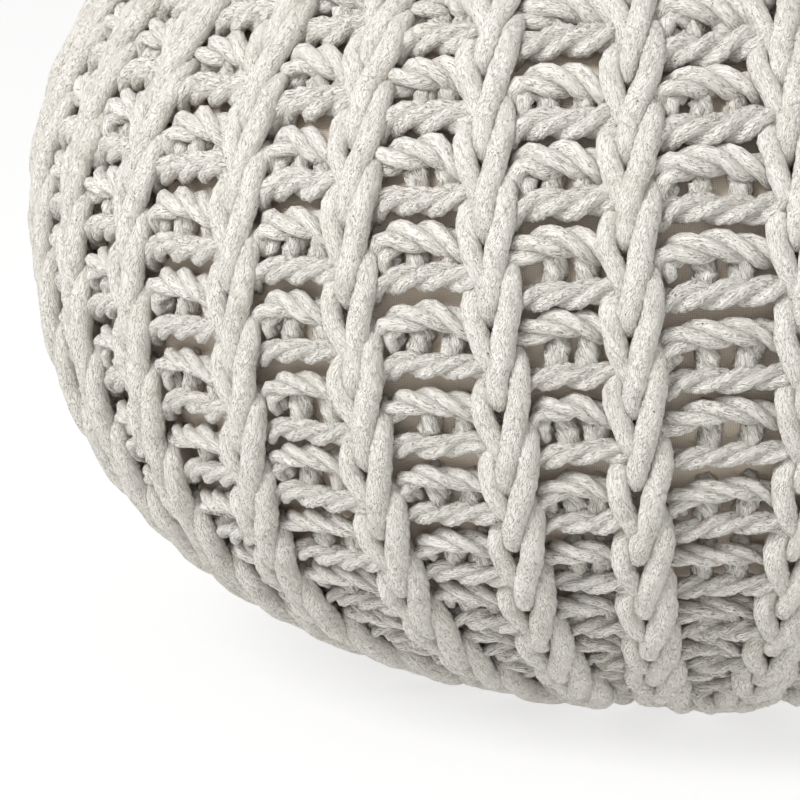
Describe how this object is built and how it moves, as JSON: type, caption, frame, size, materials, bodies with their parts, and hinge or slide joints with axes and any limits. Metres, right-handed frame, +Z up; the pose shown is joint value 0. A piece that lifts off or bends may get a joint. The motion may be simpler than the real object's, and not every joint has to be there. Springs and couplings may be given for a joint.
{
  "type": "knitted pouf",
  "caption": "Round floor pouf: a filled cloth casing in a ribbed cover of chunky knitted cotton cord, with a flattened base and a drawn-in crown.",
  "frame": {"origin": "middle of the flat base, on the floor", "axes": "+Z up through the crown; a knit rib lies on +X, and the pouf is round about Z"},
  "size_m": [0.4984, 0.4958, 0.357],
  "materials": {
    "knit_cover": "matt twisted cotton cord, undyed cream",
    "casing": "matt plain-woven cotton, undyed"
  },
  "bodies": {
    "root": {"knit_cover": "knit_cover", "casing": "casing"}
  },
  "joints": []
}
